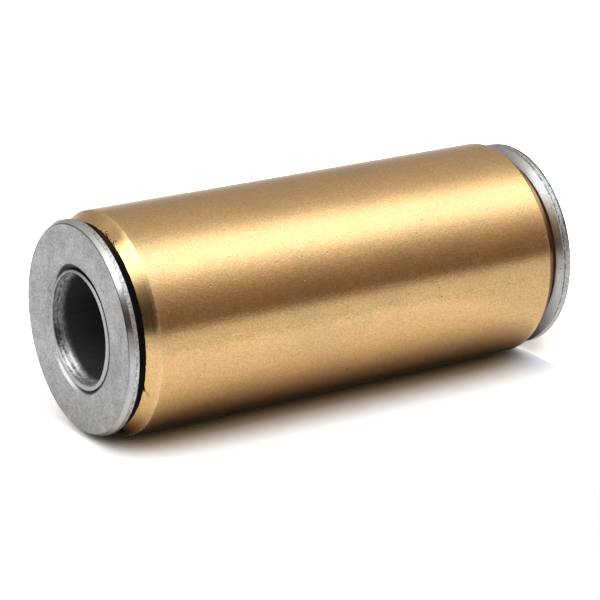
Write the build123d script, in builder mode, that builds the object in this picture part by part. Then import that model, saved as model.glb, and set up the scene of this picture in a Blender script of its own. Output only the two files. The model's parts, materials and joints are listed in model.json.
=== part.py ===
from build123d import *

import os

# Leaf spring bushing: a bonded rubber-and-metal bush with an end washer staked on at each end.
#
# Five pieces on one axis, which is Z, standing on the bottom washer with the origin at the
# middle of its outer face. From the outside in: a turned sleeve, the rubber bonded inside it,
# a thick inner tube, and two blanked washers that the expanded ends of the tube hold.
# All sizes are in millimetres.

os.makedirs("parts", exist_ok=True)

# ---- Driving dimensions, from the bore outwards ----------------------------------------------
bore_diameter = 24.0
tube_wall = 5.0
rubber_wall = 4.5  # between the inner tube and the sleeve
sleeve_wall = 4.0
sleeve_length = 110.2
sleeve_chamfer_length = 2.8  # along the axis
sleeve_chamfer_depth = 2.3  # towards the axis
rubber_gap = 2.1  # rubber showing between each sleeve end and its washer
rubber_hollow = 0.25  # how far the showing ring of rubber curves inwards

washer_inset = 1.1  # the washer's edge lies this far inside the sleeve's outside
washer_thickness = 2.1
washer_rolled_edge = 0.65  # edge of the outer face, drawn in where the blanking die cut
washer_hole_chamfer = 1.0  # outer edge of the hole, which the tube's end is spread into
washer_hole_clearance = 0.05  # on the radius, before the tube's end is spread

spigot_wall = 1.25  # of the turned-down tube end inside the washer
spigot_flare = 0.4  # how far the tube's end is spread into the washer's chamfer
tip_recess = 0.15  # the tube's end lies this far below the washer's outer face
mouth_widening = 0.55  # on the radius, where the staking punch entered
mouth_depth = 1.4
throat_length = 1.3  # of the smooth slope from the mouth down to the bore
throat_radius = 2.0

# ---- Derived radii and places -----------------------------------------------------------------
bore_radius = bore_diameter / 2
tube_radius = bore_radius + tube_wall
sleeve_bore_radius = tube_radius + rubber_wall
sleeve_radius = sleeve_bore_radius + sleeve_wall
sleeve_lip_radius = sleeve_radius - sleeve_chamfer_depth
washer_radius = sleeve_radius - washer_inset

spigot_radius = bore_radius + spigot_wall
mouth_radius = bore_radius + mouth_widening
washer_hole_radius = spigot_radius + washer_hole_clearance

sleeve_bottom = washer_thickness + rubber_gap
overall_length = sleeve_length + 2 * sleeve_bottom
middle = overall_length / 2
throat_bottom = tip_recess + mouth_depth
throat_top = throat_bottom + throat_length

# ---- Outer sleeve: turned tube, chamfered outside at both ends -------------------------------
with BuildPart() as outer_sleeve:
    with BuildSketch(Plane.XY.offset(sleeve_bottom)):
        Circle(sleeve_radius)
        Circle(sleeve_bore_radius, mode=Mode.SUBTRACT)
    extrude(amount=sleeve_length)
    for end_face in (
        outer_sleeve.faces().sort_by(Axis.Z)[0],
        outer_sleeve.faces().sort_by(Axis.Z)[-1],
    ):
        outer_edge = end_face.outer_wire().edges()
        chamfer(outer_edge, length=sleeve_chamfer_depth, length2=sleeve_chamfer_length, reference=end_face)
outer_sleeve.part.label = "outer_sleeve"

# ---- Inner tube: thick tube with a turned-down, expanded end through each washer --------------
with BuildPart() as inner_tube:
    with BuildSketch(Plane.XZ):
        with BuildLine():
            Polyline(
                (bore_radius, middle),
                (tube_radius, middle),
                (tube_radius, washer_thickness),
                (spigot_radius, washer_thickness),
                (spigot_radius, washer_hole_chamfer),
                (spigot_radius + spigot_flare, tip_recess),
                (mouth_radius, tip_recess),
            )
            FilletPolyline(
                (mouth_radius, tip_recess),
                (mouth_radius, throat_bottom),
                (bore_radius, throat_top),
                (bore_radius, middle),
                radius=throat_radius,
            )
        make_face()
    revolve(axis=Axis.Z)
    mirror(about=Plane.XY.offset(middle))
inner_tube.part.label = "inner_tube"

# ---- Rubber core: fills the sleeve, and the gap between each sleeve end and its washer --------
with BuildPart() as rubber_core:
    with BuildSketch(Plane.XZ):
        with BuildLine():
            Polyline(
                (sleeve_bore_radius, washer_thickness),
                (tube_radius, washer_thickness),
                (tube_radius, middle),
                (sleeve_bore_radius, middle),
                (sleeve_bore_radius, sleeve_bottom),
                (sleeve_lip_radius, sleeve_bottom),
            )
            SagittaArc(
                (sleeve_lip_radius, sleeve_bottom),
                (sleeve_bore_radius, washer_thickness),
                -rubber_hollow,
            )
        make_face()
    revolve(axis=Axis.Z)
    mirror(about=Plane.XY.offset(middle))
rubber_core.part.label = "rubber_core"

# ---- Washers: alike, each with its rolled edge and its hole's chamfer on the outer side -------
with BuildPart() as bottom_washer:
    with BuildSketch(Plane.XY):
        Circle(washer_radius)
        Circle(washer_hole_radius, mode=Mode.SUBTRACT)
    extrude(amount=washer_thickness)
    outer_face = bottom_washer.faces().sort_by(Axis.Z)[0]
    fillet(outer_face.outer_wire().edges(), radius=washer_rolled_edge)
    outer_face = bottom_washer.faces().sort_by(Axis.Z)[0]
    chamfer(outer_face.inner_wires()[0].edges(), length=washer_hole_chamfer)
bottom_washer.part.label = "bottom_washer"

with BuildPart() as top_washer:
    mirror(bottom_washer.part, about=Plane.XY.offset(middle))
top_washer.part.label = "top_washer"

# ---- One STEP file for each piece -------------------------------------------------------------
for piece in (outer_sleeve, rubber_core, inner_tube, bottom_washer, top_washer):
    export_step(piece.part, f"parts/{piece.part.label}.step")
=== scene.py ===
"""Looks of a leaf spring bushing, built around its CAD frame.

Five pieces share one upright axis: a turned brass-coloured sleeve, the rubber bonded inside it,
a steel inner tube whose ends are spread by a punch, and the two blanked washers that they hold.
Every piece is a closed surface of revolution worked out as whole numpy arrays: a closed loop of
(radius, height) points carried round the axis, with small departures added where tools, dies
and torn rubber left them. Lengths are in metres and angles in radians, where nothing else is said.
A clock angle is in degrees, from +X towards -Y.
"""

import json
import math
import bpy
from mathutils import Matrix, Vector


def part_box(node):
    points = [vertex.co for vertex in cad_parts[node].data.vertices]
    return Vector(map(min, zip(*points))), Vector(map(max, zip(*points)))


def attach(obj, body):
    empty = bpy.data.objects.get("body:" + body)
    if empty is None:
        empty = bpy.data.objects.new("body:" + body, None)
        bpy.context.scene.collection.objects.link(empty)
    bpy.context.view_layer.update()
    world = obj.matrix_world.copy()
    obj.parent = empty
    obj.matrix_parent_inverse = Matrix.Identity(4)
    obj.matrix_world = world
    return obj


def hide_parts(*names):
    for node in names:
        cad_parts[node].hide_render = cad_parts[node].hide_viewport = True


bl_info = {
    "name": "Leaf spring bushing",
    "version": (1, 0, 0),
    "blender": (4, 5, 0),
    "location": "3D View > Sidebar > Bushing",
    "description": "Builds a bonded leaf spring bushing with its finishes and a studio stage",
    "category": "Object",
}

import bmesh
import bpy
import numpy as np
from mathutils import Matrix, Vector

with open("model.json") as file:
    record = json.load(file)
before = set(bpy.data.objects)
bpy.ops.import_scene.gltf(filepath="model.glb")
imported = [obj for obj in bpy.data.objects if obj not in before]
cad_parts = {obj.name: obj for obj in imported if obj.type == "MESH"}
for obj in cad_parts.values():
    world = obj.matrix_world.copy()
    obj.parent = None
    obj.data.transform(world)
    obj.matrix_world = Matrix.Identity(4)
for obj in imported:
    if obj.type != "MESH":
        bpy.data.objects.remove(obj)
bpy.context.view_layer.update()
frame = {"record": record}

MM = 0.001
TURN = 2 * math.pi
BODY = "root"

SLEEVE_LOW, SLEEVE_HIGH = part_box("outer_sleeve")
RUBBER_LOW, RUBBER_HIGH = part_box("rubber_core")
TUBE_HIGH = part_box("inner_tube")[1]
BOTTOM_LOW, BOTTOM_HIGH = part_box("bottom_washer")
TOP_LOW, TOP_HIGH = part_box("top_washer")
MOUNT_SIZES = {mount["name"]: mount["dims"] for mount in frame["record"]["mounts"]}

# Points once round each piece: close enough for its finest mark, and few enough to stay light.
SLEEVE_COLUMNS = 440
RUBBER_COLUMNS = 720
TUBE_COLUMNS = 640
WASHER_COLUMNS = 900


# ---- Sizes and colours that a user would change ------------------------------------------------


def length_value(name, description, millimetres):
    """A length property whose default is given in millimetres."""
    return bpy.props.FloatProperty(
        name=name, description=description, default=millimetres * MM, unit="LENGTH", precision=5
    )


def angle_value(name, description, degrees):
    """An angle property whose default is given in degrees."""
    return bpy.props.FloatProperty(
        name=name, description=description, default=math.radians(degrees), subtype="ANGLE"
    )


def colour_value(name, description, red, green, blue):
    """A colour property, in linear light."""
    return bpy.props.FloatVectorProperty(
        name=name, description=description, default=(red, green, blue), subtype="COLOR", min=0, max=1
    )


class BushSizes(bpy.types.PropertyGroup):
    """Sizes of the bush that the CAD frame doesn't give."""

    sleeve_wall: length_value("Sleeve wall", "Wall of the outer sleeve", 4.0)
    corner: length_value("Sleeve corner", "Rounding between sleeve and chamfer", 0.16)
    washer_hole: length_value("Washer hole", "Radius of each washer's hole", 13.3)
    hole_chamfer: length_value("Hole chamfer", "Depth of the chamfer outside each hole", 1.0)
    chamfer_reach: length_value("Chamfer reach", "How far that chamfer widens the hole", 1.45)
    bevel: length_value("Bevel", "How far the top washer's blanked edge is drawn in", 0.80)
    bevel_depth: length_value("Bevel depth", "Depth of that drawn-in edge", 0.95)
    sharp_bevel: length_value("Sharp bevel", "How far the bottom washer's edge is drawn in", 0.06)
    sharp_depth: length_value("Sharp bevel depth", "Depth of that drawn-in edge", 0.12)
    spigot: length_value("Spigot radius", "Radius of the tube's end in the washer", 13.25)
    spigot_flare: length_value("Spigot flare", "How far the tube's end is spread", 0.4)
    mouth: length_value("Mouth radius", "Radius inside the tube's spread end", 12.55)
    mouth_depth: length_value("Mouth depth", "Depth of the spread end before its slope", 1.4)
    throat: length_value("Throat length", "Length of the slope from mouth to bore", 1.3)
    tip_inset: length_value("Tip inset", "From each washer's face down to the tube's tip", 0.15)
    flash: length_value("Rubber flash", "Usual reach of the rubber over the sleeve", 0.10)


class BushColours(bpy.types.PropertyGroup):
    """Colours of the bush's finishes."""

    brass: colour_value("Brass", "Turned sleeve", 0.70, 0.454, 0.208)
    brass_stain: colour_value("Brass stain", "Duller patches of the sleeve", 0.62, 0.42, 0.20)
    washer: colour_value("Washer steel", "Blanked washers", 0.362, 0.362, 0.354)
    burnish: colour_value("Burnished steel", "Smooth band of the washers' edges", 0.57, 0.57, 0.56)
    tube: colour_value("Tube steel", "Spread ends of the tube", 0.42, 0.42, 0.41)
    mouth: colour_value("Mouth steel", "Punched wall inside the tube's ends", 0.27, 0.27, 0.265)
    scale: colour_value("Bore scale", "Dark skin inside the bore", 0.035, 0.038, 0.036)
    # Colour of painted shade in gaps, grooves and voids, at the washers' edges and on the tube's ends.
    grime: colour_value("Grime", "Dark dirt in the gap round the tube", 0.03, 0.028, 0.026)
    rubber: colour_value("Rubber", "Bonded rubber", 0.0028, 0.0024, 0.0024)
    stage: colour_value("Stage", "Floor and backdrop", 0.90, 0.90, 0.90)


# Colours of small marks and of painted light: red, green and blue in linear light. The warm reflection tint
# multiplies what it lies on.
# Paler brass of the abraded corner with its painted highlight.
WORN_BRASS = (0.80, 0.57, 0.34)
BROWN_SPECK = (0.24, 0.11, 0.05)
# Painted shade on the sleeve's bottom chamfer.
BRASS_GRIME = (0.12, 0.048, 0.018)
# Polish and painted highlight on the washers' inner faces and hole chamfers.
POLISHED_STEEL = (0.95, 0.94, 0.92)
# Painted highlight in the tube's mouth and on the washers' hole chamfers.
RUBBED_STEEL = (0.80, 0.79, 0.77)
STEEL_PIT = (0.10, 0.10, 0.10)
# Painted warm reflection of the brass, on the washers' inner faces.
STEEL_STAIN = (1.04, 0.90, 0.76)
# Painted brown reflection of the brass, on the rubber.
RUST_DUST = (0.09, 0.026, 0.012)


# ---- Shapes as numpy arrays --------------------------------------------------------------------


def around(columns):
    """Angles once round the axis, from +X towards +Y, without repeating the first."""
    return np.arange(columns) * (TURN / columns)


def ease(value):
    """The smooth step 3t^2 - 2t^3 of a value held between 0 and 1."""
    t = np.clip(value, 0, 1)
    return t * t * (3 - 2 * t)


def rise(value, start, reach):
    """0 up to start, rising smoothly to 1 over the reach beyond it. Both are in mm."""
    return ease((value - start * MM) / (reach * MM))


def bump_at(value, centre, half_width):
    """1 at the centre, falling smoothly to 0 at half_width on either side."""
    return ease(1 - np.abs(value - centre) / half_width)


def bands(value, *places):
    """The sum of such bumps, at (centre, half width) for each, in mm."""
    return sum(bump_at(value, centre * MM, half_width * MM) for centre, half_width in places)


def near_clock(angle, clock, half_width, steepness=1.0):
    """1 at a clock angle, falling smoothly to 0 at half_width on either side. Both are in degrees,
    and the clock angle runs from +X towards -Y. A steepness over 1 gives the bump a flat top."""
    away = np.abs((angle + math.radians(clock) + math.pi) % TURN - math.pi)
    return ease(steepness * (1 - away / math.radians(half_width)))


def lattice_noise(angle, along, cells_round, cells_along, seed):
    """Smooth random field from -1 to 1 that closes on itself once per turn: random heights on a
    lattice of cells, blended both ways by the smooth step. along runs from 0 to 1."""
    heights = np.random.default_rng(seed).uniform(-1, 1, (cells_along + 2, cells_round))
    u = (angle / TURN % 1) * cells_round
    v = np.clip(along, 0, 1) * cells_along
    column, row = np.floor(u).astype(int), np.floor(v).astype(int)
    blend_u, blend_v = ease(u - column), ease(v - row)
    next_column = (column + 1) % cells_round
    column = column % cells_round
    low = heights[row, column] * (1 - blend_u) + heights[row, next_column] * blend_u
    high = heights[row + 1, column] * (1 - blend_u) + heights[row + 1, next_column] * blend_u
    return low * (1 - blend_v) + high * blend_v


def ring_noise(angle, cells, seed):
    """The same kind of field, changing only with the angle."""
    return lattice_noise(angle, 0.5 + 0 * angle, cells, 1, seed)


def rounded_loop(corners, spacing):
    """Closed loop of (radius, height) points through the given (radius, height, rounding)
    corners. Each corner is an arc tangent to its two sides. Each side is divided evenly by
    spacing, with one more point close to each end that keeps the shading of flats flat."""
    support = 0.03 * MM
    arc_points = 5
    corner = np.array([c[:2] for c in corners], float)
    rounding = np.array([c[2] for c in corners], float)
    to_next = np.roll(corner, -1, axis=0) - corner
    side_length = np.linalg.norm(to_next, axis=1)
    onward = to_next / side_length[:, None]
    inward = np.roll(onward, 1, axis=0)
    cosine = np.clip((inward * onward).sum(1), -1, 1)
    half_turn = np.arccos(cosine) / 2
    setback = rounding * np.tan(half_turn)
    turning = np.sign(inward[:, 0] * onward[:, 1] - inward[:, 1] * onward[:, 0])
    points = []
    for k in range(len(corner)):
        start = corner[k] - inward[k] * setback[k]
        if setback[k] > 0:
            side = np.array([-inward[k, 1], inward[k, 0]]) * turning[k]
            sweep = np.linspace(0, 2 * half_turn[k], arc_points)[:, None]
            arc = np.sin(sweep) * inward[k] + (1 - np.cos(sweep)) * side
            points.append(start + rounding[k] * arc)
        else:
            points.append(start[None])
        m = (k + 1) % len(corner)
        first = corner[k] + onward[k] * setback[k]
        run = side_length[k] - setback[k] - setback[m]
        if run > 4 * support:
            steps = max(1, int(round(run / spacing)))
            share = np.linspace(0, 1, steps + 1)[1:-1] * run
            distances = np.concatenate([[support], share[share > 2 * support], [run - support]])
            points.append(first + distances[:, None] * onward[k])
    return np.concatenate(points)


def loop_normals(radius, height):
    """Unit normals of a closed loop carried round the axis, pointing out of its solid. Rows are
    points of the loop and columns are angles; the slope between angles is small and left out."""
    along_r = np.roll(radius, -1, axis=0) - np.roll(radius, 1, axis=0)
    along_h = np.roll(height, -1, axis=0) - np.roll(height, 1, axis=0)
    size = np.maximum(np.hypot(along_r, along_h), 1e-12)
    next_r, next_h = np.roll(radius, -1, axis=0), np.roll(height, -1, axis=0)
    outward = np.where(np.sum(radius * next_h - next_r * height, axis=0) > 0, 1.0, -1.0)
    return along_h / size * outward, -along_r / size * outward


def carried_round(radius, height, angle):
    """Points of a loop carried round the Z axis: (r cos a, r sin a, h) for each row and column."""
    return np.stack([radius * np.cos(angle), radius * np.sin(angle), height], axis=-1)


def grid_of(loop, columns):
    """(angle, radius, height) of a loop's points carried round, as arrays of one row for each
    point and one column for each angle."""
    angle = around(columns)[None, :]
    radius, height = loop[:, :1] + 0 * angle, loop[:, 1:] + 0 * angle
    return angle + 0 * radius, radius, height


def grid_quads(rows, columns):
    """Corner indices of the quads of a grid that closes on itself both ways."""
    index = np.arange(rows * columns).reshape(rows, columns)
    beside = np.roll(index, -1, axis=1)
    above = np.roll(index, -1, axis=0)
    across = np.roll(beside, -1, axis=0)
    return np.stack([index, beside, across, above], axis=-1).reshape(-1, 4)


def facing_out(points, quads):
    """The quads, turned over if the closed surface's signed volume is negative."""
    a, b, c, d = (points[quads[:, k]] for k in range(4))
    volume = np.sum(a * np.cross(b, c)) + np.sum(a * np.cross(c, d))
    return quads if volume > 0 else quads[:, ::-1]


def placed(name, data):
    """A new object in the scene, at the origin, that holds the given data."""
    thing = bpy.data.objects.new(name, data)
    bpy.context.scene.collection.objects.link(thing)
    return thing


def new_piece(name, points, faces, **attributes):
    """A smooth-shaded object at the origin made from points, faces and named point values."""
    mesh = bpy.data.meshes.new(name)
    mesh.from_pydata(points, [], faces)
    for key, values in attributes.items():
        values = np.ascontiguousarray(values, dtype=np.float32)
        is_vector = values.shape[-1] == 3 and values.size == 3 * len(points)
        layer = mesh.attributes.new(key, "FLOAT_VECTOR" if is_vector else "FLOAT", "POINT")
        layer.data.foreach_set("vector" if is_vector else "value", values.ravel())
    mesh.shade_smooth()
    return placed(name, mesh)


def upright(height):
    """Vectors along the axis, of the given heights."""
    flat = np.zeros_like(height)
    return np.stack([flat, flat, height], axis=-1)


def revolved_piece(name, radius, height, every, **attributes):
    """A closed piece from a loop whose radius and height may change with the angle, given for
    every point."""
    points = carried_round(radius, height, every[:1]).reshape(-1, 3)
    return new_piece(name, points, facing_out(points, grid_quads(*radius.shape)), **attributes)


def dress(piece, material, slot, *nodes):
    """Gives a piece its material and its body, and hides the CAD nodes it stands for. slot is not used."""
    piece.data.materials.append(material)
    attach(piece, BODY)
    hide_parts(*nodes)


# ---- Materials ---------------------------------------------------------------------------------


def shaded(colour, factor):
    """A colour made lighter or darker by a factor, and held at full brightness."""
    return tuple(min(1.0, factor * value) for value in colour)


class Nodes:
    """A node tree whose nodes are added and linked by short calls."""

    def __init__(self, owner):
        owner.use_nodes = True
        self.tree = owner.node_tree

    def put(self, socket, value):
        """Links a node's output to a socket, or sets the socket to a plain value."""
        if isinstance(value, bpy.types.NodeSocket):
            self.tree.links.new(value, socket)
        else:
            socket.default_value = value

    def add(self, kind, inputs=(), **settings):
        """A new node of the given kind and settings. inputs holds what goes into its sockets, in
        their order or by name."""
        node = self.tree.nodes.new(kind)
        for name, value in settings.items():
            setattr(node, name, value)
        for key, value in inputs.items() if isinstance(inputs, dict) else enumerate(inputs):
            self.put(node.inputs[key], value)
        return node

    def math(self, operation, *values):
        """A Math node's result."""
        return self.add("ShaderNodeMath", values, operation=operation).outputs[0]

    def times(self, first, second):
        """Two numbers multiplied."""
        return self.math("MULTIPLY", first, second)

    def times_plus(self, first, second, third):
        """Two numbers multiplied, with a third added."""
        return self.math("MULTIPLY_ADD", first, second, third)

    def remap(self, value, low, high, to_low=0.0, to_high=1.0):
        """The value taken smoothly from one range to another, and held inside it."""
        ends = (value, low, high, to_low, to_high)
        return self.add("ShaderNodeMapRange", ends, interpolation_type="SMOOTHSTEP").outputs["Result"]

    def blend(self, share, first, second):
        """Two colours mixed by a share from 0 to 1."""
        node = self.add("ShaderNodeMix", {"Factor": share}, data_type="RGBA")
        for key, value in (("A", first), ("B", second)):
            socket = [s for s in node.inputs if s.name == key and s.type == "RGBA"][0]
            self.put(socket, value if isinstance(value, bpy.types.NodeSocket) else (*value, 1.0))
        return [s for s in node.outputs if s.type == "RGBA"][0]

    def scaled(self, vector, factor):
        """A colour or vector times a number."""
        values = {0: vector, "Scale": factor}
        return self.add("ShaderNodeVectorMath", values, operation="SCALE").outputs[0]

    def product(self, first, second):
        """Two colours multiplied channel by channel."""
        return self.add("ShaderNodeVectorMath", (first, second), operation="MULTIPLY").outputs[0]

    def ramp(self, value, stops):
        """A colour read off straight lines between stops of (position, colour)."""
        node = self.add("ShaderNodeValToRGB", (value,))
        elements = node.color_ramp.elements
        elements.remove(elements[-1])
        for k, (position, colour) in enumerate(stops):
            element = elements[0] if k == 0 else elements.new(position)
            element.position = position
            element.color = (*colour, 1.0)
        return node.outputs["Color"]

    def mixed(self, share, first, second):
        """Two shaders mixed by a share from 0 to 1."""
        return self.add("ShaderNodeMixShader", (share, first, second)).outputs[0]


class Finish(Nodes):
    """A material of the part, on object coordinates and the values stored on its points."""

    def __init__(self, name, **constants):
        self.material = bpy.data.materials.new(name)
        super().__init__(self.material)
        self.shader = self.tree.nodes["Principled BSDF"]
        self.place = self.add("ShaderNodeTexCoord").outputs["Object"]
        for key, value in constants.items():
            self.set(key, value)

    def set(self, name, value):
        """Links or sets one of the shader's inputs."""
        self.put(self.shader.inputs[name], value)

    def noise(self, scale, detail=2.0, roughness=0.5, stretch=None):
        """A Noise Texture's value, on the place scaled first by a number for each axis if given."""
        vector = self.place
        if stretch is not None:
            vector = self.add("ShaderNodeMapping", {"Vector": vector, "Scale": stretch}).outputs[0]
        values = {"Vector": vector, "Scale": scale, "Detail": detail, "Roughness": roughness}
        return self.add("ShaderNodeTexNoise", values).outputs["Fac"]

    def speckled(self, value, strength):
        """1 where a value from 0 to 1 is a half, and above or below 1 by the strength elsewhere."""
        return self.times_plus(self.math("SUBTRACT", value, 0.5), strength, 1.0)

    def attribute(self, name):
        """A named value stored on the mesh's points."""
        return self.add("ShaderNodeAttribute", attribute_name=name).outputs["Fac"]

    def leaned(self):
        """The surface's normal, leaned over by the vector stored on the mesh as lean. It stands
        for facets too fine to model, all tipped the same way, as punched or lapped metal has."""
        surface = self.add("ShaderNodeNewGeometry").outputs["Normal"]
        stored = self.add("ShaderNodeAttribute", attribute_name="lean").outputs["Vector"]
        tipped = self.add("ShaderNodeVectorMath", (surface, stored), operation="ADD").outputs[0]
        return self.add("ShaderNodeVectorMath", (tipped,), operation="NORMALIZE").outputs[0]

    def relief(self, before, *layers):
        """Bump nodes laid over each other, from (height, distance in mm) for each, on top of an
        earlier normal if there is one."""
        for height, distance in layers:
            values = {"Strength": 1.0, "Distance": distance * MM, "Height": height}
            if before is not None:
                values["Normal"] = before
            before = self.add("ShaderNodeBump", values).outputs[0]
        self.set("Normal", before)

    def specks(self, scale, share, radius):
        """Sparse irregular dots: cells of the given scale, of which a share hold a dot of about
        radius, in cell widths."""
        ragged = self.noise(scale * 4, 1.0)
        cell = self.add("ShaderNodeTexVoronoi", {"Vector": self.place, "Scale": scale})
        pick = self.add("ShaderNodeSeparateColor", (cell.outputs["Color"],))
        chosen = self.math("LESS_THAN", pick.outputs[0], share)
        edge = self.times_plus(ragged, radius, cell.outputs["Distance"])
        return self.times(chosen, self.remap(edge, radius, radius * 1.5, 1.0, 0.0))


def brass_finish(colours):
    """Turned brass, lightly peened: a fine speckle that breaks up what it mirrors, faint streaks
    round the axis, a few scratches along it, duller patches, pits and brown specks. The chamfers
    are smoother, the corners paler by abrasion and a painted highlight, and the bottom chamfer is
    darkened by painted shade."""
    finish = Finish("turned_brass", Metallic=1.0, Anisotropic=0.35)
    finish.set("Anisotropic Rotation", 0.25)
    # Tangents run round the Z axis, as turning marks do.
    finish.set("Tangent", finish.add("ShaderNodeTangent", direction_type="RADIAL", axis="Z").outputs[0])
    worn, smooth = finish.attribute("worn"), finish.attribute("smooth")

    streaks = finish.noise(1.0, 3.0, 0.6, stretch=(60, 60, 3600))
    grain = finish.noise(2800, 2.0, 0.6, stretch=(1, 1, 0.7))
    patches = finish.noise(95, 4.0, 0.6, stretch=(1, 1, 0.6))
    mottle = finish.noise(620, 2.0, 0.6, stretch=(1, 1, 0.6))
    scratches = finish.remap(finish.noise(1.0, 1.0, stretch=(1500, 1500, 70)), 0.70, 0.78)
    pits = finish.specks(420, 0.22, 0.11)
    brown = finish.specks(190, 0.30, 0.05)

    brass, stain = tuple(colours.brass), tuple(colours.brass_stain)
    reddened = (1.04 * brass[0], 0.93 * brass[1], 0.86 * brass[2])
    colour = finish.blend(finish.remap(patches, 0.42, 0.72), brass, stain)
    colour = finish.blend(finish.times(finish.remap(mottle, 0.48, 0.70), 0.42), colour, reddened)
    colour = finish.blend(finish.times(brown, 0.45), colour, BROWN_SPECK)
    speckle = finish.ramp(grain, ((0.0, (0.62, 0.55, 0.36)), (1.0, (1.38, 1.45, 1.64))))
    shade = finish.times_plus(scratches, 0.16, finish.speckled(streaks, 0.08))
    shade = finish.times(shade, finish.times_plus(pits, -0.4, 1.0))
    colour = finish.product(finish.scaled(colour, shade), speckle)
    # Paler corners: abrasion and a painted highlight line.
    colour = finish.blend(worn, colour, WORN_BRASS)
    # Painted shade on the bottom chamfer, in the gap by the washer.
    colour = finish.blend(finish.attribute("grime"), colour, BRASS_GRIME)
    finish.set("Base Color", colour)

    roughness = finish.remap(streaks, 0.3, 0.7, 0.17, 0.20)
    roughness = finish.times_plus(smooth, -0.04, roughness)
    finish.set("Roughness", finish.times_plus(worn, 0.35, roughness))
    rough_share = finish.times_plus(smooth, -0.75, 1.0)
    finish.relief(
        finish.leaned(),
        (streaks, 0.0022),
        (finish.times(grain, rough_share), 0.016),
        (finish.times(mottle, rough_share), 0.012),
        (finish.math("SUBTRACT", 1.0, pits), 0.03),
    )
    return finish.material


def washer_finish(colours):
    """Blanked steel: matt mottled faces, a smooth burnished band and a torn, granular band, with
    painted highlights, a painted warm reflection of the brass and painted shade.
    """
    finish = Finish("washer_steel", Metallic=1.0)
    smooth, torn = finish.attribute("burnished"), finish.attribute("torn")

    mottle = finish.noise(420, 4.0, 0.65)
    clouds = finish.noise(130, 3.0, 0.6)
    grain = finish.noise(2400, 2.0, 0.7)
    coarse_grain = finish.noise(1900, 3.0, 0.7)
    drag = finish.noise(1.0, 2.0, stretch=(3800, 3800, 500))
    pits = finish.specks(420, 0.20, 0.13)
    steel = tuple(colours.washer)
    colour = finish.blend(finish.remap(mottle, 0.35, 0.68), steel, shaded(steel, 1.22))
    patches = finish.times(finish.remap(clouds, 0.45, 0.70), 0.6)
    colour = finish.blend(patches, colour, shaded(steel, 0.82))
    colour = finish.scaled(colour, finish.speckled(grain, 1.6))
    granular = finish.remap(coarse_grain, 0.36, 0.62)
    colour = finish.blend(torn, colour, finish.blend(granular, shaded(steel, 0.85), shaded(steel, 1.8)))
    # The burnished band takes the burnish colour, and so does the painted highlight on the hole's chamfer.
    colour = finish.blend(smooth, colour, tuple(colours.burnish))
    # Polish and a painted highlight on the inner face and on one side of the hole's chamfer.
    colour = finish.blend(finish.attribute("polished"), colour, POLISHED_STEEL)
    # A painted warm reflection of the brass on the inner face, round clock 64; stain here names that tint.
    stain = finish.blend(finish.attribute("stained"), (1.0, 1.0, 1.0), STEEL_STAIN)
    colour = finish.product(colour, stain)
    colour = finish.blend(finish.times(pits, 0.5), colour, STEEL_PIT)
    # Painted shade in grooves, gaps and voids, at the rim's edges and where the rim lies on the ground.
    colour = finish.blend(finish.attribute("grime"), colour, tuple(colours.grime))
    finish.set("Base Color", colour)

    roughness = finish.times_plus(smooth, -0.40, 0.52)
    finish.set("Roughness", finish.times_plus(torn, -0.14, roughness))
    finish.relief(
        finish.leaned(),
        (finish.times(grain, finish.times_plus(smooth, -0.85, 1.0)), 0.020),
        (finish.times(coarse_grain, torn), 0.040),
        (finish.times(drag, smooth), 0.005),
        (mottle, 0.02),
    )
    return finish.material


def tube_finish(colours):
    """Steel tube: satin spread end, mouth ringed by the punch and a bore under dark scale, with
    painted highlight strips on one side of the mouth and painted shade in the gap, on the tip and
    in the mouth.
    """
    finish = Finish("tube_steel")
    punched, scaled = finish.attribute("punched"), finish.attribute("scaled")
    finish.set("Metallic", finish.times_plus(scaled, -0.7, 1.0))

    grain = finish.noise(2600, 3.0, 0.65)
    blotch = finish.noise(700, 2.0, stretch=(1, 1, 0.5))
    rings = finish.noise(1.0, 2.0, 0.6, stretch=(800, 800, 3000))
    steel, mouth = tuple(colours.tube), tuple(colours.mouth)
    ringed = finish.blend(finish.remap(rings, 0.38, 0.62), shaded(mouth, 0.55), shaded(mouth, 1.45))
    colour = finish.blend(punched, steel, ringed)
    colour = finish.scaled(colour, finish.speckled(grain, 0.8))
    # Painted highlight strips on the lit side of the mouth.
    colour = finish.blend(finish.attribute("rubbed"), colour, RUBBED_STEEL)
    blotted = finish.times(finish.attribute("marked"), finish.remap(blotch, 0.35, 0.55))
    colour = finish.blend(blotted, colour, shaded(mouth, 0.25))
    colour = finish.blend(scaled, colour, tuple(colours.scale))
    # Painted shade in the gap round the spigot, on the tip and in the mouth.
    colour = finish.blend(finish.attribute("grime"), colour, tuple(colours.grime))
    finish.set("Base Color", colour)

    roughness = finish.times_plus(punched, -0.08, 0.42)
    finish.set("Roughness", finish.times_plus(scaled, 0.25, roughness))
    finish.relief(finish.leaned(), (grain, 0.014), (finish.times(rings, punched), 0.030))
    return finish.material


def rubber_finish(colours):
    """Matt black rubber with a fine torn grain, and a painted brown reflection of the brass at the
    bottom end and in one place at the top.
    """
    finish = Finish("rubber", Metallic=0.0, Roughness=0.65)
    finish.set("Specular IOR Level", 0.10)
    grain = finish.noise(1500, 4.0, 0.7)
    black = tuple(colours.rubber)
    colour = finish.blend(finish.remap(grain, 0.45, 0.8), black, shaded(black, 2.6))
    finish.set("Base Color", finish.blend(finish.attribute("rusty"), colour, RUST_DUST))
    finish.relief(None, (grain, 0.05))
    return finish.material


# ---- Turned sleeve -----------------------------------------------------------------------------


def sleeve_chamfer():
    """(length along the axis, depth towards it) of the sleeve's chamfer, from the frame."""
    sleeve_length = SLEEVE_HIGH.z - SLEEVE_LOW.z
    plain_length = MOUNT_SIZES["sleeve_outside"]["length_mm"] * MM
    return (sleeve_length - plain_length) / 2, SLEEVE_HIGH.x - RUBBER_HIGH.x


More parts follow.
